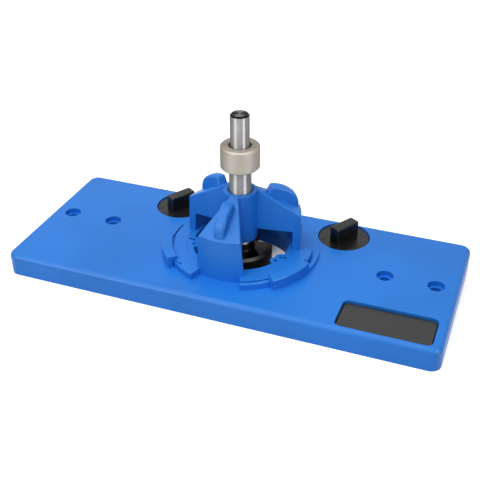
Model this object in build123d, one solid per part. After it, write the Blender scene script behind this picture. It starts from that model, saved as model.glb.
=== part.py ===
from build123d import *
import math
import os

# Hinge drilling jig: a moulded plate that lies on a cabinet door, a twist-in guide that holds a
# 35 mm boring bit square over the centre of the hinge cup, a depth collar on the bit, and two
# edge cams that set how far the cup lies from the door's edge.
# Millimetres. The origin is the centre of the cup on the door's face, +Z up out of the door,
# +Y towards the door's edge, where the cams are.

# Plate
plate_length = 225.8
plate_front_margin = 6.7
plate_back_margin = 3.5
plate_thickness = 12.0
plate_corner_radius = 5.5
plate_edge_round = 2.5
plate_skin = 3.0
plate_rim = 3.0
rib_thickness = 2.0
rib_gap = 20.0

# Marking holes for the hinge's own screws: spacing along the edge, and setback from the cup
marking_holes = ((45.0, 9.5), (48.0, 6.0), (52.0, 5.5))
marking_hole_diameter = 1.7
marking_pad_radius = 3.0

# Opening over the cup, just wider than the marking holes, and the raised lip the guide turns on
opening_margin = 0.8
opening_wall = 3.2
lip_reach = 2.4
lip_seat = 0.8
lip_rise = 3.4
lip_depth = 4.4

# Screw holes that hold the plate on the door, in two pairs
screw_end_margin = 11.3
screw_pair_spacing = 25.4
screw_hole_offset = 1.3
screw_hole_diameter = 5.6
screw_sink_diameter = 8.6
screw_sink_depth = 2.8
screw_boss_wall = 3.0

# Clamps that hold the guide down, and the catch beside one of them
clamp_wall = 2.9
clamp_gap = 0.5
clamp_lip = 2.7
clamp_rise = 5.9
clamp_span = 34.0
clamp_round = 0.9
catch_span = 30.0
catch_width = 1.9
catch_rise = 2.0

# Drill guide
guide_lobes = 3
guide_first_leg = -90.0
guide_running_gap = 0.1
flange_thickness = 3.5
flange_round = 0.8
lug_reach = 6.6
lug_span = 80.0
lug_headroom = 0.2
finger_width = 1.4
finger_slot = 0.9
finger_reach = 43.0
nub_width = 3.0
nub_rise = 1.0
leg_half_angle = 21.3
leg_foot_wall = 2.7
leg_front_wall = 3.8
leg_flare = 1.5
leg_draft = 4.0
leg_shoulder_height = 34.5
leg_edge_round = 0.7
web_underside = 25.5
web_wall = 2.4
roof_wall = 2.6
tube_outer_radius = 8.6
tube_top = 47.5
tube_bottom = 20.5
tube_mouth = 1.1
ear_thickness = 5.6
ear_root_gap = 4.8
ear_setback = 1.2
ear_rise = 0.85
ear_round = 1.4

# Boring bit
cup_diameter = 35.0
bit_body_radius = 16.3
bit_body_top = 14.4
bit_body_bottom = 1.0
bit_rim = 2.1
bit_rim_fall = 0.8
bit_rim_sweep = 57.0
bit_hub_radius = 6.3
bit_hub_foot_radius = 7.6
bit_hub_top = 18.0
gullet_angle = 132.0
gullet_offset = 5.2
gullet_sweep = 132.0
gullet_back_offset = 5.7
shank_guide_radius = 5.6
shank_step = 70.0
shank_end_radius = 4.75
shank_end_length = 18.4
shank_end_chamfer = 0.8
shank_running_gap = 0.06
cutter_thickness = 2.0
cutter_height = 5.0
spur_width = 3.2
spur_thickness = 2.2
spur_lead = 0.6
spur_setback = 10.0
point_radius = 2.2
point_length = 4.4

# Depth collar
collar_radius = 9.85
collar_height = 12.1
collar_setting = 12.4
collar_chamfer = 0.7
set_screw_radius = 2.5
set_screw_length = 4.0
set_screw_socket = 2.5
set_screw_socket_depth = 2.0
set_screw_height = 4.8
set_screw_azimuth = 112.0

# Edge cams and their knobs
knob_back_margin = 15.0
knob_clearance = 1.25
knob_disc_radius = 13.35
knob_disc_thickness = 3.8
knob_disc_drop = 0.6
knob_well_gap = 0.4
knob_grip_length = 15.4
knob_grip_width = 6.2
knob_grip_rise = 7.9
knob_grip_corner = 0.9
knob_grip_round = 0.7
knob_angle = 59.0
knob_stem_radius = 5.0
knob_drive_width = 6.4
knob_floor = 3.2
cam_settings = (3.0, 3.5, 4.0, 4.5, 5.0, 6.0)
cam_rest_setting = 2
cam_drop = 5.0
cam_well_radius = 11.4
cam_gap = 0.1
cam_web = 1.2
cam_screw_radius = 1.9
cam_screw_head_radius = 3.6
cam_screw_head_height = 2.2
cam_screw_length = 10.0
cam_screw_slot = 1.0
spring_washer_height = 0.9
spring_washer_sheet = 0.5

# Badge panel in its recess
badge_length = 45.5
badge_width = 20.4
badge_end_margin = 5.0
badge_front_margin = 2.7
badge_corner_radius = 3.0
badge_recess_depth = 2.2
badge_floor = 2.4
badge_thickness = 1.0
badge_gap = 0.5

upright = (Align.CENTER, Align.CENTER, Align.MIN)
full_turn = 360.0
turn_step = full_turn / guide_lobes
clamp_angles = [guide_first_leg + turn_step * (k + 0.5) for k in range(guide_lobes)]
leg_angles = [guide_first_leg + turn_step * k for k in range(guide_lobes)]
opening_radius = max(math.hypot(spacing / 2, setback) for spacing, setback in marking_holes) + opening_margin
lip_inner_radius = opening_radius - lip_reach
lip_outer_radius = opening_radius + lip_seat
guide_bore = lip_outer_radius + guide_running_gap
leg_outer_radius = guide_bore + leg_foot_wall
leg_inner_radius = leg_outer_radius - leg_front_wall
lug_radius = leg_outer_radius + lug_reach
clamp_outer_radius = lug_radius + clamp_gap + clamp_wall
plate_front = clamp_outer_radius + plate_front_margin
plate_back = clamp_outer_radius + plate_back_margin
outer_screw_spacing = plate_length - 2 * screw_end_margin
inner_screw_spacing = outer_screw_spacing - 2 * screw_pair_spacing
ear_inner_radius = tube_outer_radius + ear_root_gap
ear_outer_radius = leg_outer_radius - ear_setback
badge_right = plate_length / 2 - badge_end_margin
badge_left = badge_right - badge_length
badge_front = badge_front_margin - plate_front
badge_back = badge_front + badge_width
plate_width = plate_front + plate_back
plate_middle = (plate_back - plate_front) / 2
flange_top = plate_thickness + flange_thickness
lip_top = plate_thickness + lip_rise
clamp_top = plate_thickness + clamp_rise
collar_bottom = tube_top + collar_setting
well_radius = knob_disc_radius + knob_well_gap
knob_y = plate_back - knob_back_margin
knob_x = math.sqrt((clamp_outer_radius + well_radius + knob_clearance) ** 2 - knob_y ** 2)
well_floor = plate_thickness - knob_disc_drop - knob_disc_thickness
cam_ceiling = well_floor - knob_floor
cam_top = cam_ceiling - cam_gap
washer_top = -cam_drop + cam_screw_head_height + spring_washer_height + cam_gap
drive_foot = washer_top + cam_web + 0.1
screw_tip = washer_top - spring_washer_height + cam_screw_length
badge_seat = plate_thickness - badge_recess_depth


def cylinder(radius, low, high, x=0.0, y=0.0):
    """An upright cylinder between two heights."""
    return Pos(x, y, low) * Cylinder(radius, high - low, align=upright)


def ring(outer, inner, low, high):
    """An upright tube about the Z axis."""
    return cylinder(outer, low, high) - cylinder(inner, low - 1, high + 1)


def turned(points, start=0.0, span=full_turn, round_at=(), radius=0.0):
    """A profile of (radius, height) points turned about Z, with some of its corners rounded."""
    face = make_face(Polyline(*points, close=True))
    if round_at:
        corners = [v for v in face.vertices() if any((Vector(*p) - Vector(v.X, v.Y)).length < 1e-3 for p in round_at)]
        face = fillet(corners, radius)
    return Rot(0, 0, start) * revolve(Plane.XZ * face, Axis.Z, revolution_arc=span)


def at_angle(radius, angle):
    """The X and Y of a point at a radius and an angle in degrees."""
    return radius * math.cos(math.radians(angle)), radius * math.sin(math.radians(angle))


def joined(shapes):
    """The union of several shapes as one part."""
    total = shapes[0]
    for shape in shapes[1:]:
        total = total + shape
    return total


def rib_places(low, high):
    """Where ribs stand between two walls so that no gap is wider than rib_gap."""
    cells = max(1, math.ceil((high - low + rib_thickness) / (rib_gap + rib_thickness)))
    pitch = (high - low + rib_thickness) / cells
    return [low - rib_thickness / 2 + pitch * k for k in range(1, cells)]


def screw_hole_xs():
    """The X of the four screw holes."""
    return [side * spacing / 2 for spacing in (inner_screw_spacing, outer_screw_spacing) for side in (-1, 1)]


def plate_underside():
    """What stands in the plate's hollow: ribs, bosses, the opening's wall and the cam housings."""
    height = plate_thickness - plate_skin
    half_length, half_width = plate_length / 2 - plate_rim, plate_width / 2 - plate_rim
    stands = [ring(opening_radius + opening_wall, opening_radius, 0, height)]
    for x in rib_places(-half_length, half_length):
        stands.append(Pos(x, plate_middle, 0) * Box(rib_thickness, plate_width - plate_rim, height, align=upright))
    for y in rib_places(plate_middle - half_width, plate_middle + half_width):
        stands.append(Pos(0, y, 0) * Box(plate_length - plate_rim, rib_thickness, height, align=upright))
    boss = screw_hole_diameter / 2 + screw_boss_wall
    for x in screw_hole_xs():
        stands.append(cylinder(boss, 0, height, x, screw_hole_offset))
    for side in (-1, 1):
        stands.append(cylinder(cam_well_radius + plate_rim, 0, height, side * knob_x, knob_y))
    badge_under = badge_seat - badge_floor
    pad = Box(
        badge_right - badge_left + 2 * badge_floor, badge_back - badge_front + 2 * badge_floor,
        height - badge_under, align=upright,
    )
    stands.append(Pos((badge_left + badge_right) / 2, (badge_front + badge_back) / 2, badge_under) * pad)
    return joined(stands)


def clamp(angle):
    """One of the hooks that hold the guide's flange down."""
    inner = clamp_outer_radius - clamp_wall
    lip = inner - clamp_lip
    under = flange_top + lug_headroom
    points = [
        (inner, plate_thickness - 0.5), (clamp_outer_radius, plate_thickness - 0.5),
        (clamp_outer_radius, clamp_top), (lip, clamp_top), (lip, under), (inner, under),
    ]
    tops = [(clamp_outer_radius, clamp_top), (lip, clamp_top)]
    return turned(points, angle - clamp_span / 2, clamp_span, tops, clamp_round)


def catch():
    """The low springy catch that runs on from the first clamp and thins out along its length."""
    start = clamp_angles[0] + clamp_span / 2
    band = turned(
        [
            (clamp_outer_radius - catch_width, plate_thickness - 0.5), (clamp_outer_radius, plate_thickness - 0.5),
            (clamp_outer_radius, plate_thickness + catch_rise),
            (clamp_outer_radius - catch_width, plate_thickness + catch_rise),
        ],
        start - 1, catch_span + 1,
    )
    x, y = at_angle(catch_width / math.sin(math.radians(catch_span)), start + full_turn / 4)
    hollow = cylinder(clamp_outer_radius - catch_width, plate_thickness - 1, clamp_top, x, y)
    return band - hollow


def marking_pads(height_low, height_high):
    """The two small pads at the lip's inside that carry the marking holes."""
    pads = []
    for side in (-1, 1):
        for spacing, setback in marking_holes:
            x = side * spacing / 2
            reach = lip_inner_radius + 1.5 - spacing / 2 + marking_pad_radius
            pads.append(cylinder(marking_pad_radius, height_low, height_high, x, -setback))
            block = Box(reach, 2 * marking_pad_radius, height_high - height_low, align=upright)
            pads.append(Pos(x + side * reach / 2, -setback, height_low) * block)
    return joined(pads) & cylinder(lip_outer_radius - 0.2, height_low, height_high)


def base_plate():
    """The blue moulded plate with its lip, clamps, wells, screw holes and ribbed underside."""
    outline = RectangleRounded(plate_length, plate_width, plate_corner_radius)
    slab = Pos(0, plate_middle, 0) * extrude(outline, plate_thickness)
    slab = fillet(slab.edges().group_by(Axis.Z)[-1], plate_edge_round)
    inside = RectangleRounded(
        plate_length - 2 * plate_rim, plate_width - 2 * plate_rim, max(0.5, plate_corner_radius - plate_rim)
    )
    hollow = Pos(0, plate_middle, 0) * extrude(inside, plate_thickness - plate_skin)
    body = slab - (hollow - plate_underside())

    lip_bottom = lip_top - lip_depth
    body += cylinder(lip_outer_radius, lip_bottom, lip_top)
    body -= cylinder(opening_radius, -1, lip_bottom)
    body -= cylinder(lip_inner_radius, lip_bottom - 1, lip_top + 1) - marking_pads(lip_bottom, lip_top)
    for side in (-1, 1):
        for spacing, setback in marking_holes:
            body -= cylinder(marking_hole_diameter / 2, lip_bottom - 1, lip_top + 1, side * spacing / 2, -setback)

    for angle in clamp_angles:
        body += clamp(angle)
    body += catch()

    sink = plate_thickness - screw_sink_depth
    for x in screw_hole_xs():
        body -= cylinder(screw_hole_diameter / 2, -1, plate_thickness + 1, x, screw_hole_offset)
        body -= cylinder(screw_sink_diameter / 2, sink, plate_thickness + 1, x, screw_hole_offset)
    for side in (-1, 1):
        x = side * knob_x
        body -= cylinder(well_radius, well_floor, plate_thickness + 1, x, knob_y)
        body -= cylinder(knob_stem_radius + shank_running_gap, -1, plate_thickness, x, knob_y)
        body -= cylinder(cam_well_radius, -1, cam_ceiling, x, knob_y)

    recess = RectangleRounded(badge_right - badge_left, badge_back - badge_front, badge_corner_radius)
    middle = Pos((badge_left + badge_right) / 2, (badge_front + badge_back) / 2, badge_seat)
    body -= middle * extrude(recess, badge_recess_depth + 1)
    return body


def badge_panel():
    """The bare dark panel that lies in the recess."""
    sheet = RectangleRounded(
        badge_right - badge_left - 2 * badge_gap, badge_back - badge_front - 2 * badge_gap,
        badge_corner_radius - badge_gap,
    )
    panel = extrude(sheet, badge_thickness)
    panel = chamfer(panel.edges().group_by(Axis.Z)[-1], 0.3)
    return Pos((badge_left + badge_right) / 2, (badge_front + badge_back) / 2, badge_seat) * panel


def leg_prism(inset):
    """The leg's plan shape drawn up with the mould's draft, its side walls inset from the leg's own."""
    half = math.radians(leg_half_angle)
    apex = (inset - leg_flare) / math.sin(half)
    reach = 1.2 * leg_outer_radius
    side = (reach - apex) * math.tan(half)
    plan = make_face(Polyline((apex, 0), (reach, -side), (reach, side), close=True))
    return Pos(0, 0, plate_thickness) * extrude(plan, tube_top, taper=leg_draft)


def leg():
    """One hollow leg of the guide, pointing along +X: a roofed wedge on a curved foot."""
    fall = (tube_top - leg_shoulder_height) / (leg_outer_radius - tube_outer_radius)
    start = tube_outer_radius - 1.5
    outer = [
        (start, web_underside), (leg_inner_radius, web_underside), (leg_inner_radius, plate_thickness),
        (leg_outer_radius, plate_thickness), (leg_outer_radius, leg_shoulder_height),
        (start, tube_top + 1.5 * fall),
    ]
    wedge = turned(outer, -2 * leg_half_angle, 4 * leg_half_angle) & leg_prism(0)
    slopes = [e for e in wedge.edges() if e.length > (leg_outer_radius - start) / 2
              and leg_shoulder_height < e.center().Z and abs(e.tangent_at(0.5).Z) > 0.1]
    wedge = fillet(slopes, leg_edge_round)
    wedge &= cylinder(2 * leg_outer_radius, 0, tube_top)

    slope = math.atan(fall)
    drop = roof_wall / math.cos(slope)
    inner = [
        (tube_outer_radius, web_underside - 1), (leg_inner_radius, web_underside - 1),
        (leg_inner_radius, leg_shoulder_height - drop + (leg_outer_radius - leg_inner_radius) * fall),
        (tube_outer_radius, tube_top - drop),
    ]
    return wedge - (turned(inner, -2 * leg_half_angle, 4 * leg_half_angle) & leg_prism(web_wall))


def ear():
    """The rounded grip fin that stands on a leg's roof, in the leg's middle plane along +X."""
    top = tube_top + ear_rise
    depth = top - leg_shoulder_height
    width = ear_outer_radius - ear_inner_radius
    low = (ear_inner_radius, leg_shoulder_height - 3)
    root, brow, crown, back, heel = [
        (ear_inner_radius + along * width, top - down * depth)
        for along, down in ((0, 0.27), (0.1, 0.05), (0.19, 0), (0.85, 0.36), (1, 0.82))
    ]
    brow_mid, crown_mid, heel_mid = [
        (ear_inner_radius + along * width, top - down * depth)
        for along, down in ((0.135, 0.012), (0.56, 0.115), (0.955, 0.56))
    ]
    foot = (ear_outer_radius, leg_shoulder_height - 3)
    profile = make_face([
        Line(low, root), Line(root, brow), ThreePointArc(brow, brow_mid, crown),
        ThreePointArc(crown, crown_mid, back), ThreePointArc(back, heel_mid, heel), Line(heel, foot), Line(foot, low),
    ])
    fin = extrude(Plane.XZ * profile, ear_thickness / 2, both=True)
    rim = [e for e in fin.edges() if abs(abs(e.center().Y) - ear_thickness / 2) < 1e-3
           and e.center().Z > leg_shoulder_height - 2.5]
    fin = fillet(rim, ear_round)
    roof = turned(
        [(0, leg_shoulder_height - 4), (leg_outer_radius - 0.2, leg_shoulder_height - 4),
         (leg_outer_radius - 0.2, leg_shoulder_height - 0.5), (tube_outer_radius, tube_top - 0.5), (0, tube_top - 0.5)]
    )
    return fin - roof


def lug(angle):
    """One flange lug of the bayonet, with its spring finger and its stop nub."""
    points = [
        (guide_bore, plate_thickness), (lug_radius, plate_thickness), (lug_radius, flange_top), (guide_bore, flange_top),
    ]
    start = angle - lug_span / 2
    body = turned(points, start, lug_span, [(lug_radius, flange_top)], flange_round)
    slot_outer = lug_radius - finger_width
    slot = [
        (slot_outer - finger_slot, plate_thickness - 1), (slot_outer, plate_thickness - 1),
        (slot_outer, flange_top + 1), (slot_outer - finger_slot, flange_top + 1),
    ]
    body -= turned(slot, start - 1, finger_reach + 1)
    nub_radius = clamp_outer_radius - clamp_wall - clamp_lip
    nub_span = math.degrees(nub_width / nub_radius)
    nub_start = angle + clamp_span / 2 + 1.5
    nub = [
        (nub_radius, flange_top - 0.5), (lug_radius - flange_round, flange_top - 0.5),
        (lug_radius - flange_round, flange_top + nub_rise), (nub_radius, flange_top + nub_rise),
    ]
    return body + turned(nub, nub_start, nub_span)


def drill_guide():
    """The blue moulded guide: a tube on three hollow legs, with ears, flange lugs and a turning ring."""
    body = cylinder(tube_outer_radius, tube_bottom, tube_top)
    body = fillet(body.edges().group_by(Axis.Z)[-1], 0.6)
    wedge = leg()
    fin = ear()
    for angle in leg_angles:
        body += Rot(0, 0, angle) * wedge
        body += Rot(0, 0, angle) * fin
    body += ring(leg_outer_radius, guide_bore, plate_thickness, flange_top)
    for angle in clamp_angles:
        body += lug(angle)
    body -= cylinder(guide_bore, 0, lip_top + lug_headroom)
    bore = shank_guide_radius + shank_running_gap
    body -= cylinder(bore, 0, tube_top + ear_rise + 5)
    mouth = turned([(0, tube_top - tube_mouth), (bore, tube_top - tube_mouth), (bore + tube_mouth, tube_top),
                    (bore + tube_mouth, tube_top + 1), (0, tube_top + 1)])
    return body - mouth


def boring_bit():
    """The bit in one piece: the ground shank, the hub, and the rimmed head with its two gullets."""
    top = shank_step + shank_end_length
    profile = [
        (0, bit_body_bottom), (bit_body_radius, bit_body_bottom),
        (bit_body_radius, bit_body_top - bit_rim_fall), (bit_body_radius - bit_rim, bit_body_top),
        (bit_hub_foot_radius, bit_body_top), (bit_hub_radius, bit_hub_top), (shank_guide_radius, bit_hub_top),
        (shank_guide_radius, shank_step), (shank_end_radius, shank_step),
        (shank_end_radius, top - shank_end_chamfer), (shank_end_radius - shank_end_chamfer, top), (0, top),
    ]
    bit = turned(profile, round_at=[(bit_body_radius, bit_body_top - bit_rim_fall)], radius=0.3)
    far = 2 * bit_body_radius
    inner = bit_hub_radius + 0.4
    side_x, side_y = at_angle(gullet_back_offset, full_turn / 4 - gullet_sweep)
    end_x, end_y = at_angle(far, -gullet_sweep)
    rim_x, rim_y = at_angle(far, -bit_rim_sweep)
    back = [(side_x + end_x, side_y + end_y), (side_x, side_y)]
    cuts = (
        (bit_body_radius - bit_rim, [(0, 0), (0, gullet_offset), (far, gullet_offset), (far, -far)] + back),
        (bit_body_radius + 1, [(0, 0), (rim_x, rim_y)] + back),
    )
    for outer, points in cuts:
        sector = extrude(make_face(Polyline(*points, close=True)), bit_hub_top)
        gullet = ring(outer, inner, bit_body_bottom - 1, bit_hub_top - 0.5) & sector
        for turn in (0, 180):
            bit -= Rot(0, 0, gullet_angle + turn) * gullet
    bit += turned([(0, bit_body_bottom - point_length), (point_radius, bit_body_bottom), (0, bit_body_bottom)])
    return bit - (carbide_cutters(0.03) + scoring_spurs(0.03))


def carbide_cutters(growth=0.0):
    """The two brazed cutting plates, each on the wall of a land, facing the gullet ahead of it."""
    start = point_radius + 1.6
    length = cup_diameter / 2 - start
    plate = Box(length + 2 * growth, cutter_thickness + growth, cutter_height + growth, align=upright)
    blade = Pos(start + length / 2, gullet_offset + (cutter_thickness + growth) / 2, 0) * plate
    blade &= cylinder(cup_diameter / 2 + growth, -1, cutter_height + 2)
    blades = [Rot(0, 0, gullet_angle + turn) * blade for turn in (0, 180)]
    return joined(blades) if growth else Compound(children=blades)


def scoring_spurs(growth=0.0):
    """The two small carbide teeth that score the cup's wall ahead of the cutting plates."""
    outer = cup_diameter / 2 + growth
    inner = cup_diameter / 2 - spur_thickness - growth
    span = math.degrees((spur_width + 2 * growth) / outer)
    top = cutter_height + growth
    points = [(inner, -spur_lead), (outer, -spur_lead), (outer, top), (inner, top)]
    edge = math.degrees(math.asin(gullet_back_offset / bit_body_radius))
    centre = gullet_angle - gullet_sweep + edge - spur_setback
    spurs = [turned(points, centre + turn - span / 2, span) for turn in (0, 180)]
    return joined(spurs) if growth else Compound(children=spurs)


def depth_collar():
    """The steel stop ring on the shank, with a tapped hole for its set screw."""
    top = collar_bottom + collar_height
    bore = shank_guide_radius + shank_running_gap
    collar = turned([
        (bore, collar_bottom), (collar_radius - collar_chamfer, collar_bottom),
        (collar_radius, collar_bottom + collar_chamfer), (collar_radius, top - collar_chamfer),
        (collar_radius - collar_chamfer, top), (bore + 0.3, top), (bore, top - 0.3),
    ])
    return collar - set_screw_place() * Cylinder(set_screw_radius + 0.03, 2 * collar_radius, align=upright)


def set_screw_place():
    """The set screw's own axis: from the shank outwards, square to it."""
    return Pos(0, 0, collar_bottom + set_screw_height) * Rot(0, 0, set_screw_azimuth) * Rot(0, 90, 0)


def collar_set_screw():
    """A socket set screw that grips the shank."""
    screw = Pos(0, 0, shank_guide_radius + 0.05) * Cylinder(set_screw_radius, set_screw_length, align=upright)
    outer = shank_guide_radius + 0.05 + set_screw_length
    socket = extrude(RegularPolygon(set_screw_socket / 2, 6, major_radius=False), set_screw_socket_depth)
    screw -= Pos(0, 0, outer - set_screw_socket_depth) * socket
    return set_screw_place() * screw


def cam_knob(side):
    """The black knob: a disc in the plate's well, a grip above it, and a stem with a square drive."""
    disc_top = well_floor + knob_disc_thickness
    disc = cylinder(knob_disc_radius, well_floor, disc_top)
    disc = fillet(disc.edges().group_by(Axis.Z)[-1], 0.4)
    grip_top = plate_thickness + knob_grip_rise
    plan = RectangleRounded(knob_grip_length, knob_grip_width, knob_grip_corner)
    grip = extrude(plan, grip_top - disc_top + 1)
    grip = Pos(0, 0, disc_top - 1) * grip
    grip = fillet(grip.edges().group_by(Axis.Z)[-1], knob_grip_round)
    stem = cylinder(knob_stem_radius, cam_ceiling + 0.1, well_floor + 0.5)
    drive = Box(knob_drive_width, knob_drive_width, cam_ceiling - drive_foot + 0.5, align=upright)
    knob = disc + Rot(0, 0, knob_angle) * grip + stem + Pos(0, 0, drive_foot) * drive
    knob -= cylinder(cam_screw_radius, drive_foot - 1, screw_tip + 0.5)
    return Pos(side * knob_x, knob_y, 0) * knob


def edge_cam(side):
    """The fence cam: a block with one flat for each cup distance, on the knob's square drive."""
    count = len(cam_settings)
    step = 360 / count
    stock = cylinder(2 * knob_disc_radius, -cam_drop, cam_top)
    for index, setting in enumerate(cam_settings):
        flat = knob_y - cup_diameter / 2 - setting
        angle = -90 + step * (index - cam_rest_setting)
        half = 4 * knob_disc_radius
        cutter = Pos(flat + half / 2, 0, -cam_drop - 1) * Box(half, 3 * half, cam_top + cam_drop + 2, align=upright)
        stock -= Rot(0, 0, angle) * cutter
    vertical = [e for e in stock.edges().filter_by(Axis.Z)]
    stock = fillet(vertical, 1.0)
    socket = Box(knob_drive_width + 0.1, knob_drive_width + 0.1, cam_top - drive_foot + 1.1, align=upright)
    stock -= Pos(0, 0, drive_foot - 0.1) * socket
    stock -= cylinder(cam_screw_radius + 0.3, -cam_drop - 1, cam_top + 1)
    stock -= cylinder(cam_screw_head_radius + 0.5, -cam_drop - 1, washer_top)
    return Pos(side * knob_x, knob_y, 0) * stock


def spring_washer(side):
    """The dished spring washer under the screw's head, which keeps the knob from turning by itself."""
    rise = spring_washer_height - spring_washer_sheet
    inner, outer = cam_screw_radius + 0.25, cam_screw_head_radius + 0.2
    low = washer_top - spring_washer_height
    washer = turned([(inner, low + rise), (outer, low), (outer, low + spring_washer_sheet), (inner, washer_top)])
    return Pos(side * knob_x, knob_y, 0) * washer


def cam_screw(side):
    """The slotted pan-head screw that draws the cam onto the knob."""
    seat = washer_top - spring_washer_height
    head = cylinder(cam_screw_head_radius, seat - cam_screw_head_height, seat)
    head = fillet(head.edges().group_by(Axis.Z)[0], 0.8)
    slot = Box(3 * cam_screw_head_radius, cam_screw_slot, cam_screw_slot + 1, align=upright)
    head -= Pos(0, 0, seat - cam_screw_head_height - 1) * slot
    return Pos(side * knob_x, knob_y, 0) * (head + cylinder(cam_screw_radius - 0.05, seat - 0.5, screw_tip))


os.makedirs("parts", exist_ok=True)
pieces = {
    "base_plate": base_plate(),
    "badge_panel": badge_panel(),
    "drill_guide": drill_guide(),
    "boring_bit": boring_bit(),
    "carbide_cutters": carbide_cutters(),
    "scoring_spurs": scoring_spurs(),
    "depth_collar": depth_collar(),
    "collar_set_screw": collar_set_screw(),
}
for name, side in (("left", -1), ("right", 1)):
    pieces[f"cam_knob_{name}"] = cam_knob(side)
    pieces[f"edge_cam_{name}"] = edge_cam(side)
    pieces[f"spring_washer_{name}"] = spring_washer(side)
    pieces[f"cam_screw_{name}"] = cam_screw(side)
for name, piece in pieces.items():
    export_step(piece, f"parts/{name}.step")
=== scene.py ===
"""A hinge drilling jig on a pale studio floor: finishes for its moulded, ground and blackened parts,
marks on its knobs, and the stage, laid out as an add-on."""

import math

import bmesh
import bpy
import numpy as np
from bpy.props import FloatProperty, FloatVectorProperty, PointerProperty
from mathutils import Matrix, Vector


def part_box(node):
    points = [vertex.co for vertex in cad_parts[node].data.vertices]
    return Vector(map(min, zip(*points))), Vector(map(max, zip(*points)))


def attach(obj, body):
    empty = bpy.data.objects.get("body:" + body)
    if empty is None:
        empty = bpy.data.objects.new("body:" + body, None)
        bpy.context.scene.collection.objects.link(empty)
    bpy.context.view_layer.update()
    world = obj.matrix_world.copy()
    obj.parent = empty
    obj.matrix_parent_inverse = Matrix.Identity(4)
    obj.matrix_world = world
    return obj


bl_info = {
    "name": "Hinge drilling jig",
    "version": (1, 0, 0),
    "blender": (4, 5, 0),
    "location": "3D View > Sidebar > Jig",
    "description": "Finishes and a studio for a hinge drilling jig",
    "category": "Object",
}

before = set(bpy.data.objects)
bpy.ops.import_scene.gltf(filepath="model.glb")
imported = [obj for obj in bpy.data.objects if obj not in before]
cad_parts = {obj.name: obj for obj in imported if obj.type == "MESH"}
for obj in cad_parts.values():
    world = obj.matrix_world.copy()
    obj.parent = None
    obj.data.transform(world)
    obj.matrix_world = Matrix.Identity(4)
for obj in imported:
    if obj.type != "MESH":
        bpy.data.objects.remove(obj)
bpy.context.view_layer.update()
SIDES = ("left", "right")
SETTINGS = 6  # a flat on the cam and a dash on the disc for each
GRIP_TURN = 59.0  # degrees in plan, where the knobs' grips point


def colour(label, text, value):
    """A colour property in linear RGB."""
    return FloatVectorProperty(
        name=label, description=text, subtype="COLOR", size=3, min=0, max=1, default=value
    )


def length(label, text, value):
    """A length property in metres."""
    return FloatProperty(name=label, description=text, unit="LENGTH", precision=5, default=value)


def factor(label, text, value):
    """A plain number from 0 to 1."""
    return FloatProperty(name=label, description=text, subtype="FACTOR", min=0, max=1, default=value)


def power(label, text, value):
    """A lamp's power in watts."""
    return FloatProperty(name=label, description=text, unit="POWER", min=0, default=value)


def angle(label, text, degrees):
    """An angle property, written here in degrees."""
    return FloatProperty(name=label, description=text, subtype="ANGLE", default=math.radians(degrees))


def number(label, text, value):
    """A number without a unit."""
    return FloatProperty(name=label, description=text, default=value)


class JIG_PG_plastic(bpy.types.PropertyGroup):
    """Colours and grain of the moulded parts."""

    blue: colour("Blue", "Colour of the plate and the guide", (0.014, 0.200, 0.71))
    # this black also paints shade on the recess floor in the gap around the badge panel
    black: colour("Black", "Colour of the knobs, cams and the badge's backing", (0.005, 0.005, 0.0055))
    panel: colour("Panel", "Colour of the bare badge panel", (0.013, 0.013, 0.014))
    # painted shade: how far the black paint on the recess floor reaches past the badge panel
    painted_gap_shade: length("Painted_gap_shade", "How far the badge panel's black backing reaches past it", 0.0009)
    rough: factor("Roughness", "Roughness of the blue plastic", 0.34)
    grain: length("Grain", "Size of the moulded texture", 0.00035)
    relief: length("Relief", "Height of the moulded texture", 0.000012)


class JIG_PG_steel(bpy.types.PropertyGroup):
    """Colours of the metal parts, and the heights on the bit where they change."""

    ground: colour("Ground steel", "Colour of the bit's shank", (0.35, 0.343, 0.334))
    blackened: colour("Blackened steel", "Colour of the bit's head", (0.006, 0.0055, 0.005))
    # painted sheen: the lighter grey of the head's upper faces stands in for their shine
    wear_and_sheen: colour("Painted_sheen steel", "Colour of the head's upper faces, worn by chips", (0.06, 0.058, 0.055))
    nickel: colour("Satin nickel", "Colour of the depth collar", (0.37, 0.338, 0.292))
    carbide: colour("Carbide", "Colour of the cutters and spurs", (0.24, 0.24, 0.25))
    zinc: colour("Zinc", "Colour of the screws and washers under the plate", (0.55, 0.55, 0.56))
    head_top: length("Head top", "Height where the black head ends and the bare shank starts", 0.0180)
    rim_edge: length("Rim edge", "Height of the outer edge of the head's sloping rim", 0.0136)
    head_face: length("Head face", "Height of the head's flat upper face", 0.0144)
    shank_end: length("Shank end", "Height where the shank's last chamfer starts", 0.0876)


class JIG_PG_marks(bpy.types.PropertyGroup):
    """The raised dashes on the knobs' discs."""

    inner: length("Inner radius", "Where a dash starts", 0.0097)
    outer: length("Outer radius", "Where a dash ends", 0.0122)
    width: length("Width", "Width of a dash", 0.0009)
    rise: length("Rise", "How far a dash stands out of the disc", 0.00032)


class JIG_PG_studio(bpy.types.PropertyGroup):
    """Light and camera."""

    sky: FloatProperty(
        name="Sky", description="Strength of the even light from all sides", min=0, default=0.19
    )
    top: power("Top light", "Power of the broad light above", 5.8)
    left: power("Left strip", "Power of the tall strip on the left", 3.8)
    right: power("Right strip", "Power of the tall strip on the right", 4.5)
    front: power("Front light", "Power of the broad light in front", 1.7)
    floor_glow: factor("Floor glow", "What the camera sees of the floor besides its own light", 0.66)
    azimuth: angle("Azimuth", "Camera's direction", 21.32)
    elevation: angle("Elevation", "Camera's height", 32.43)
    roll: angle("Roll", "Camera's tilt about its own axis", -0.55)
    distance: length("Distance", "From the camera to the point it looks at", 0.43244)
    target: length("Target height", "Height of the point the camera looks at", 0.020)
    lens: FloatProperty(name="Lens", description="Focal length", unit="CAMERA", default=62.52)
    shift_x: number("Shift X", "Sideways shift of the picture", -0.00177)
    shift_y: number("Shift Y", "Upward shift of the picture", -0.01054)


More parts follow.
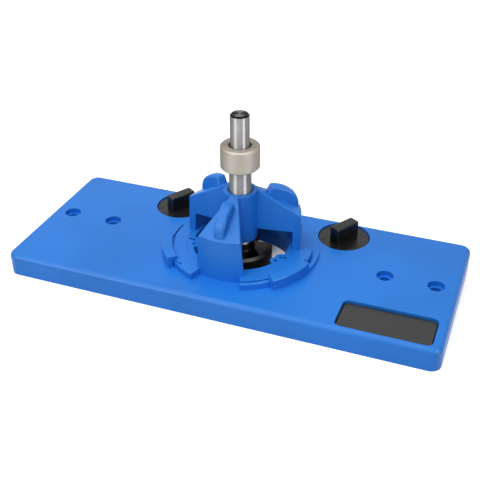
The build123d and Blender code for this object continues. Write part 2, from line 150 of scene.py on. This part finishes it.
class Wire:
    """A shader socket that takes part in Python arithmetic: each operator adds a Math node."""

    def __init__(self, finish, socket):
        self.finish = finish
        self.socket = socket

    def _math(self, operation, first, second):
        return self.finish.node("ShaderNodeMath", {"operation": operation}, {0: first, 1: second})

    def __add__(self, other):
        return self._math("ADD", self, other)

    __radd__ = __add__

    def __sub__(self, other):
        return self._math("SUBTRACT", self, other)

    def __rsub__(self, other):
        return self._math("SUBTRACT", other, self)

    def __mul__(self, other):
        return self._math("MULTIPLY", self, other)

    __rmul__ = __mul__

    def __pow__(self, other):
        return self._math("POWER", self, other)

    def __gt__(self, other):
        return self._math("GREATER_THAN", self, other)

    def __lt__(self, other):
        return self._math("LESS_THAN", self, other)

    def clamped(self):
        """The value held between 0 and 1."""
        return self.finish.node("ShaderNodeClamp", {}, {"Value": self})

    def ramp(self, low, high):
        """0 below low, 1 above high, and a smooth rise between them."""
        settings = {"interpolation_type": "SMOOTHSTEP"}
        sockets = {"Value": self, "From Min": low, "From Max": high}
        return self.finish.node("ShaderNodeMapRange", settings, sockets)


class Finish:
    """One material while it is being made."""

    def __init__(self, name, **constants):
        self.material = bpy.data.materials.new(name)
        self.material.use_nodes = True
        self.tree = self.material.node_tree
        self.shader = self.tree.nodes["Principled BSDF"]
        self.feed(self.shader, constants)
        self.place = self.node("ShaderNodeTexCoord", {}, {}, "Object")

    def feed(self, node, sockets):
        """Sets or links a node's sockets; a key's underscores stand for spaces."""
        for key, value in sockets.items():
            socket = node.inputs[key.replace("_", " ") if isinstance(key, str) else key]
            if isinstance(value, Wire):
                self.tree.links.new(value.socket, socket)
            elif socket.type == "RGBA":
                socket.default_value = (*tuple(value)[:3], 1.0)
            else:
                socket.default_value = value

    def node(self, kind, settings, sockets, output=0):
        """Adds any node: its type, its settings, then the values or wires of its sockets."""
        node = self.tree.nodes.new(kind)
        for key, value in settings.items():
            setattr(node, key, value)
        self.feed(node, sockets)
        return Wire(self, node.outputs[output])

    def stretched(self, x, y, z):
        """Object coordinates multiplied along each axis."""
        settings = {"operation": "MULTIPLY"}
        return self.node("ShaderNodeVectorMath", settings, {0: self.place, 1: (x, y, z)})

    def noise(self, vector, scale, detail, rough=0.5):
        """Noise about 0.5."""
        sockets = {"Vector": vector, "Scale": scale, "Detail": detail, "Roughness": rough}
        return self.node("ShaderNodeTexNoise", {}, sockets)

    def blend(self, amount, first, second):
        """One colour or another by amount."""
        sockets = {0: amount, 6: first, 7: second}
        return self.node("ShaderNodeMix", {"data_type": "RGBA"}, sockets, 2)

    def axes(self):
        """The three object coordinates, each on its own wire."""
        split = self.tree.nodes.new("ShaderNodeSeparateXYZ")
        self.tree.links.new(self.place.socket, split.inputs[0])
        return [Wire(self, out) for out in split.outputs]

    def bump(self, height, distance):
        """A bump whose distance is the relief's real height in metres."""
        sockets = {"Height": height, "Distance": distance, "Strength": 1.0}
        self.feed(self.shader, {"Normal": self.node("ShaderNodeBump", {}, sockets)})

    def put(self, **sockets):
        """Feeds the shader's own sockets."""
        self.feed(self.shader, sockets)
        return self.material


def dress(nodes, material):
    """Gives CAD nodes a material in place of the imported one."""
    for name in nodes:
        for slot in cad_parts[name].material_slots:
            slot.material = material


def surface(name, points, material, body):
    """A closed mesh from a grid of points: rows run from one pole to the other, each row is a ring,
    and the points that meet at a pole become one."""
    rows, columns = points.shape[:2]
    index = np.arange(rows * columns).reshape(rows, columns)
    beside = np.roll(index, -1, axis=1)
    quads = np.stack([index[:-1], index[1:], beside[1:], beside[:-1]], -1).reshape(-1, 4)
    mesh = bpy.data.meshes.new(name)
    mesh.from_pydata(points.reshape(-1, 3).tolist(), [], quads.tolist())
    shell = bmesh.new()
    shell.from_mesh(mesh)
    bmesh.ops.remove_doubles(shell, verts=shell.verts, dist=1e-7)
    shell.to_mesh(mesh)
    shell.free()
    mesh.shade_smooth()
    mesh.materials.append(material)
    piece = bpy.data.objects.new(name, mesh)
    bpy.context.scene.collection.objects.link(piece)
    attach(piece, body)


class JIG_OT_moulded(bpy.types.Operator):
    """Give the blue plate and guide their moulded plastic, with painted shade: black on the floor of
    the badge's recess in the narrow gap around the panel
    """

    bl_idname = "jig.moulded"
    bl_label = "Blue mouldings"

    def execute(self, context):
        sizes = context.scene.jig_plastic
        finish = Finish("blue_moulded_plastic", IOR=1.5, Specular_IOR_Level=0.25)
        cloud = finish.noise(finish.place, 22.0, 3.0)
        fine = finish.noise(finish.place, 1 / sizes.grain, 2.0)
        dust = finish.noise(finish.place, 900.0, 4.0, 0.7)
        shade = tuple(0.93 * part for part in sizes.blue)
        light = tuple(min(1.0, 1.05 * part + 0.004) for part in sizes.blue)
        finish.bump(fine + 0.35 * dust, sizes.relief)
        tone = cloud.ramp(0.3, 0.7)
        low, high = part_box("badge_panel")
        x, y, z = finish.axes()
        edge, band = sizes.painted_gap_shade, 0.0003
        # painted shade: the recess floor in the narrow gap around the badge panel is painted black
        painted_gap_shade_mask = (
            (x > low.x - edge) * (x < high.x + edge)
            * (y > low.y - edge) * (y < high.y + edge)
            * (z > low.z - band) * (z < low.z + band)
        )
        blue = finish.blend(tone, shade, light)
        material = finish.put(
            Base_Color=finish.blend(painted_gap_shade_mask, blue, sizes.black),
            Roughness=sizes.rough + 0.10 * (cloud - 0.5) + 0.12 * (fine - 0.5),
        )
        dress(("base_plate", "drill_guide"), material)
        return {"FINISHED"}


class JIG_OT_knobs(bpy.types.Operator):
    """Give the knobs, cams and badge panel their black plastic, and put dashes on the knobs' discs"""

    bl_idname = "jig.knobs"
    bl_label = "Knobs, cams and panel"

    def execute(self, context):
        sizes = context.scene.jig_plastic
        finish = Finish("black_moulded_plastic", IOR=1.5, Specular_IOR_Level=0.3)
        fine = finish.noise(finish.place, 1 / sizes.grain, 2.0)
        cloud = finish.noise(finish.place, 60.0, 3.0)
        wear_and_sheen = tuple(2.2 * part for part in sizes.black)
        finish.bump(fine, 1.6 * sizes.relief)
        black = finish.put(
            Base_Color=finish.blend(cloud.ramp(0.35, 0.75), sizes.black, wear_and_sheen),
            Roughness=0.28 + 0.12 * (fine - 0.5) + 0.12 * (cloud - 0.5),
        )
        for side in SIDES:
            dress((f"cam_knob_{side}", f"edge_cam_{side}"), black)
            self.dashes(context.scene.jig_marks, side, black)

        film = Finish("badge_panel_film", IOR=1.46, Specular_IOR_Level=0.5)
        speck = film.noise(film.place, 2600.0, 2.0)
        drift = film.noise(film.place, 35.0, 2.0)
        pale = tuple(1.25 * part for part in sizes.panel)
        film.bump(speck, 0.6 * sizes.relief)
        panel = film.put(
            Base_Color=film.blend(drift, sizes.panel, pale),
            Roughness=0.36 + 0.14 * (speck - 0.5),
        )
        dress(("badge_panel",), panel)
        return {"FINISHED"}

    def dashes(self, marks, side, material):
        """Raised dashes, one for each setting: radius runs along a dash and its cross-section is an
        ellipse, sin of an angle high and cos of it wide, its lower half sunk in the disc. Both ends
        taper to nothing, by the root of 1 minus the sixth power of the way from the middle."""
        low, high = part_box(f"cam_knob_{side}")
        centre = (low + high) / 2
        disc_top, sunk = 0.0114, 0.00002
        rings, facets = 12, 16
        along = np.linspace(0, 1, rings)[:, None]
        across = np.linspace(0, 2 * math.pi, facets, endpoint=False)[None, :]
        taper = np.sqrt(np.clip(1 - (2 * along - 1) ** 6, 0, 1))
        radius = marks.inner + (marks.outer - marks.inner) * along
        offset = marks.width / 2 * np.cos(across) * taper
        height = disc_top - sunk + marks.rise * np.sin(across) * taper
        turns = np.radians(GRIP_TURN + 360.0 / SETTINGS * (np.arange(SETTINGS) + 0.5))
        for count, turn in enumerate(turns, 1):
            x = centre.x + radius * np.cos(turn) - offset * np.sin(turn)
            y = centre.y + radius * np.sin(turn) + offset * np.cos(turn)
            points = np.stack([x, y, height], -1)[::-1]
            surface(f"dial_mark_{side}_{count}", points, material, f"{side}_dial")


class JIG_OT_steel(bpy.types.Operator):
    """Give the bit, the collar, the cutters and the small screws their metal"""

    bl_idname = "jig.steel"
    bl_label = "Metal parts"

    def execute(self, context):
        sizes = context.scene.jig_steel
        self.bit(sizes)
        self.collar(sizes)
        tips = ("carbide_cutters", "scoring_spurs")
        self.plain("cutter_carbide", sizes.carbide, 0.38, 1.0, 900.0, tips)
        self.plain("socket_screw_black", sizes.blackened, 0.42, 0.6, 1500.0, ("collar_set_screw",))
        hidden = [f"{part}_{side}" for part in ("cam_screw", "spring_washer") for side in SIDES]
        self.plain("zinc_plated_steel", sizes.zinc, 0.3, 1.0, 1200.0, hidden)
        return {"FINISHED"}

    def bit(self, sizes):
        """Bare ground steel above the head's top, black below it and on the end's chamfer, dull on the
        flat end, and a painted sheen on the head's upper faces: a lighter, more metallic grey."""
        hair, chamfer, flat_radius = 0.00005, 0.00075, 0.00395
        finish = Finish(
            "boring_bit_steel", IOR=1.5, Specular_Tint=(0.05, 0.05, 0.05), Anisotropic=1.0,
            Anisotropic_Rotation=0.25,
        )
        x, y, z = finish.axes()
        grind = finish.noise(finish.stretched(250.0, 250.0, 9000.0), 1.0, 3.0, 0.6)
        grit = finish.noise(finish.place, 1400.0, 3.0)
        stain = finish.noise(finish.place, 160.0, 3.0)
        radius = (x * x + y * y) ** 0.5
        head = z < sizes.head_top - hair
        end = (z > sizes.shank_end) * (radius > flat_radius)
        cap = z > sizes.shank_end + chamfer
        dull = tuple(0.36 * part for part in sizes.ground)
        stained = tuple(0.82 * part for part in sizes.ground)
        shine = finish.blend(stain.ramp(0.3, 0.8), sizes.ground, stained)
        bare = finish.blend(cap, shine, dull)
        dark = (head + end).clamped()
        # painted sheen: the head's upper faces, between the rim's edge and the flat face, get a
        # lighter, more metallic colour
        upper = (z > sizes.rim_edge) * (z < sizes.head_face + hair)
        finish.bump(grind * (1 - dark) + 2.0 * grit * dark, 0.000004)
        black = finish.blend(upper, sizes.blackened, sizes.wear_and_sheen)
        material = finish.put(
            Base_Color=finish.blend(dark, bare, black),
            Metallic=1.0 - 0.75 * dark + 0.6 * upper,
            Roughness=0.46 + 0.12 * (grind - 0.5) - 0.12 * dark + 0.35 * cap,
        )
        dress(("boring_bit",), material)

    def collar(self, sizes):
        """Satin nickel with fine turned lines: rings on its ends and bands on its side."""
        finish = Finish(
            "depth_collar_satin_nickel", IOR=1.5, Metallic=1.0, Specular_Tint=(0.2, 0.2, 0.2),
            Anisotropic=0.4, Anisotropic_Rotation=0.25,
        )
        x, y, z = finish.axes()
        radius = (x * x + y * y) ** 0.5
        fine, slow = 7000.0, 40.0
        turned = finish.node("ShaderNodeCombineXYZ", {}, {0: radius * fine, 1: z * fine, 2: x * slow})
        lines = finish.noise(turned, 1.0, 3.0, 0.6)
        cloud = finish.noise(finish.place, 130.0, 3.0)
        finish.bump(lines, 0.000006)
        warm = tuple(0.86 * part for part in sizes.nickel)
        material = finish.put(
            Base_Color=finish.blend(cloud.ramp(0.3, 0.75), sizes.nickel, warm),
            Roughness=0.6 + 0.12 * (lines - 0.5) + 0.12 * (cloud - 0.5),
        )
        dress(("depth_collar",), material)

    def plain(self, name, tint, rough, metallic, scale, nodes):
        """A metal with small grit and a slow change of tone."""
        finish = Finish(name, IOR=1.5, Metallic=metallic)
        grit = finish.noise(finish.place, scale, 3.0)
        cloud = finish.noise(finish.place, scale / 8, 2.0)
        finish.bump(grit, 0.000004)
        darker = tuple(0.75 * part for part in tint)
        material = finish.put(
            Base_Color=finish.blend(cloud.ramp(0.3, 0.75), tint, darker),
            Roughness=rough + 0.2 * (grit - 0.5),
        )
        dress(nodes, material)


class JIG_OT_stage(bpy.types.Operator):
    """Put the jig on a pale floor under soft light, with the camera"""

    bl_idname = "jig.stage"
    bl_label = "Studio"

    def execute(self, context):
        scene = context.scene
        sizes = scene.jig_studio
        self.floor(sizes.floor_glow)
        self.backdrop(scene, sizes)
        centre, shank = (0, 0, 0), (0, 0, 0.06)
        self.lamp("top_light", sizes.top, 0.9, 0.9, (-0.10, -0.12, 0.75), centre)
        strips = (
            self.lamp("left_light", sizes.left, 0.36, 0.6, (-0.40, -0.64, 0.32), shank),
            self.lamp("right_light", sizes.right, 0.34, 0.6, (0.68, -0.28, 0.32), shank),
        )
        for strip in strips:
            strip.visible_diffuse = False  # they show in shine alone, as the metal's bright bands
        self.lamp("front_light", sizes.front, 0.9, 0.9, (0.10, -0.80, 0.50), centre)
        self.camera(scene, sizes)
        scene.view_settings.view_transform = "Standard"
        return {"FINISHED"}

    def floor(self, glow):
        """A wide sheet under the plate's front edge and the cams: height falls evenly towards +Y.
        Where the camera or a shine looks at it, it glows up to white and keeps the shadow, and far
        away it is all white. Under the plate's opening it is painted shade that gives little light
        back, and on the right alone it glows weakly, a painted pool of light, so that the opening
        stays dark."""
        reach, lines, gap = 3, 7, 0.00005
        opening, far_from, far_to = 0.036, 0.3, 1.0
        weak, weak_from, weak_to = 0.34, 0.003, 0.014
        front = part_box("base_plate")[0]
        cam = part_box("edge_cam_left")[0]
        slope = (cam.z - front.z) / (cam.y - front.y)
        steps = np.linspace(-reach, reach, lines)
        x, y = np.meshgrid(steps, steps, indexing="ij")
        points = np.stack([x, y, front.z + slope * (y - front.y) - gap], -1)
        finish = Finish("studio_floor", Roughness=0.7, Specular_IOR_Level=0.1, Emission_Strength=1.0)
        rays = [
            finish.node("ShaderNodeLightPath", {}, {}, f"Is {kind} Ray")
            for kind in ("Camera", "Glossy", "Transmission")
        ]
        seen = (rays[0] + rays[1] + rays[2]).clamped()
        across, along, _ = finish.axes()
        radius = (across * across + along * along) ** 0.5
        far = radius.ramp(far_from, far_to)
        near = (1 - far) * glow + far
        outside = radius > opening
        # painted pool of light: under the opening the floor glows on its right side alone
        inside = weak * across.ramp(weak_from, weak_to)
        shown = seen * (outside * near + (1 - outside) * inside)
        # painted shade: under the opening the floor gives back little light
        bounce = finish.blend(outside, (0.04, 0.04, 0.04), (0.72, 0.72, 0.72))
        finish.put(
            Base_Color=finish.blend(seen, bounce, (0.75, 0.75, 0.75)),
            Emission_Color=finish.blend(shown, (0, 0, 0), (1, 1, 1)),
        )
        mesh = bpy.data.meshes.new("studio_floor")
        index = np.arange(lines * lines).reshape(lines, lines)
        corners = [index[:-1, :-1], index[1:, :-1], index[1:, 1:], index[:-1, 1:]]
        quads = np.stack(corners, -1).reshape(-1, 4)
        mesh.from_pydata(points.reshape(-1, 3).tolist(), [], quads.tolist())
        mesh.materials.append(finish.material)
        floor = bpy.data.objects.new("studio_floor", mesh)
        bpy.context.scene.collection.objects.link(floor)

    def backdrop(self, scene, sizes):
        """An even sky for the object's light, and plain white where the camera or a shine looks."""
        world = bpy.data.worlds.new("studio_sky")
        scene.world = world
        world.use_nodes = True
        nodes, links = world.node_tree.nodes, world.node_tree.links
        sky = nodes["Background"]
        white = nodes.new("ShaderNodeBackground")
        for light, strength in ((sky, sizes.sky), (white, 1.0)):
            light.inputs["Color"].default_value = (1, 1, 1, 1)
            light.inputs["Strength"].default_value = strength
        rays = nodes.new("ShaderNodeLightPath")
        seen = rays.outputs["Is Camera Ray"]
        for kind in ("Glossy", "Transmission"):
            either = nodes.new("ShaderNodeMath")
            either.operation = "MAXIMUM"
            links.new(seen, either.inputs[0])
            links.new(rays.outputs[f"Is {kind} Ray"], either.inputs[1])
            seen = either.outputs[0]
        mix = nodes.new("ShaderNodeMixShader")
        links.new(seen, mix.inputs[0])
        links.new(sky.outputs[0], mix.inputs[1])
        links.new(white.outputs[0], mix.inputs[2])
        links.new(mix.outputs[0], nodes["World Output"].inputs["Surface"])

    def lamp(self, name, watts, width, height, place, aim):
        """A soft rectangular lamp that faces a point."""
        data = bpy.data.lights.new(name, "AREA")
        data.shape = "RECTANGLE"
        data.size, data.size_y = width, height
        data.energy = watts
        lamp = bpy.data.objects.new(name, data)
        bpy.context.scene.collection.objects.link(lamp)
        turn = (Vector(place) - Vector(aim)).to_track_quat("Z", "Y").to_matrix().to_4x4()
        lamp.matrix_world = Matrix.Translation(place) @ turn
        return lamp

    def camera(self, scene, sizes):
        """The camera on a sphere about the target, turned about its own axis by the roll."""
        azimuth, elevation, roll = sizes.azimuth, sizes.elevation, sizes.roll
        level = math.cos(elevation)
        back = Vector((math.sin(azimuth) * level, -math.cos(azimuth) * level, math.sin(elevation)))
        right = Vector((math.cos(azimuth), math.sin(azimuth), 0))
        up = back.cross(right)
        right, up = (
            right * math.cos(roll) + up * math.sin(roll),
            up * math.cos(roll) - right * math.sin(roll),
        )
        data = bpy.data.cameras.new("photo_camera")
        data.lens = sizes.lens
        data.sensor_width = 36.0
        data.shift_x, data.shift_y = sizes.shift_x, sizes.shift_y
        data.clip_start = 0.01
        camera = bpy.data.objects.new("photo_camera", data)
        scene.collection.objects.link(camera)
        turn = Matrix((right, up, back)).transposed().to_4x4()
        place = Vector((0, 0, sizes.target)) + sizes.distance * back
        camera.matrix_world = Matrix.Translation(place) @ turn
        scene.camera = camera


class JIG_PT_panel(bpy.types.Panel):
    """Lists the jig's operators and the sizes and colours they use"""

    bl_label = "Hinge drilling jig"
    bl_idname = "JIG_PT_panel"
    bl_space_type = "VIEW_3D"
    bl_region_type = "UI"
    bl_category = "Jig"

    def draw(self, context):
        for operator in OPERATORS:
            self.layout.operator(operator.bl_idname)
        for group in GROUPS:
            box = self.layout.box()
            sizes = getattr(context.scene, group)
            for name in sizes.__annotations__:
                box.prop(sizes, name)


OPERATORS = (JIG_OT_moulded, JIG_OT_knobs, JIG_OT_steel, JIG_OT_stage)
GROUPS = {
    "jig_plastic": JIG_PG_plastic,
    "jig_steel": JIG_PG_steel,
    "jig_marks": JIG_PG_marks,
    "jig_studio": JIG_PG_studio,
}


def register():
    """Registers the classes and hangs the property groups on the scene."""
    for item in (*GROUPS.values(), *OPERATORS, JIG_PT_panel):
        bpy.utils.register_class(item)
    for name, group in GROUPS.items():
        setattr(bpy.types.Scene, name, PointerProperty(type=group))


def unregister():
    """Takes the property groups and the classes away again."""
    for name in GROUPS:
        delattr(bpy.types.Scene, name)
    for item in reversed((*GROUPS.values(), *OPERATORS, JIG_PT_panel)):
        bpy.utils.unregister_class(item)


def main():
    """Registers the add-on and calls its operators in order."""
    register()
    bpy.ops.jig.moulded()
    bpy.ops.jig.knobs()
    bpy.ops.jig.steel()
    bpy.ops.jig.stage()


if __name__ == "__main__":
    main()
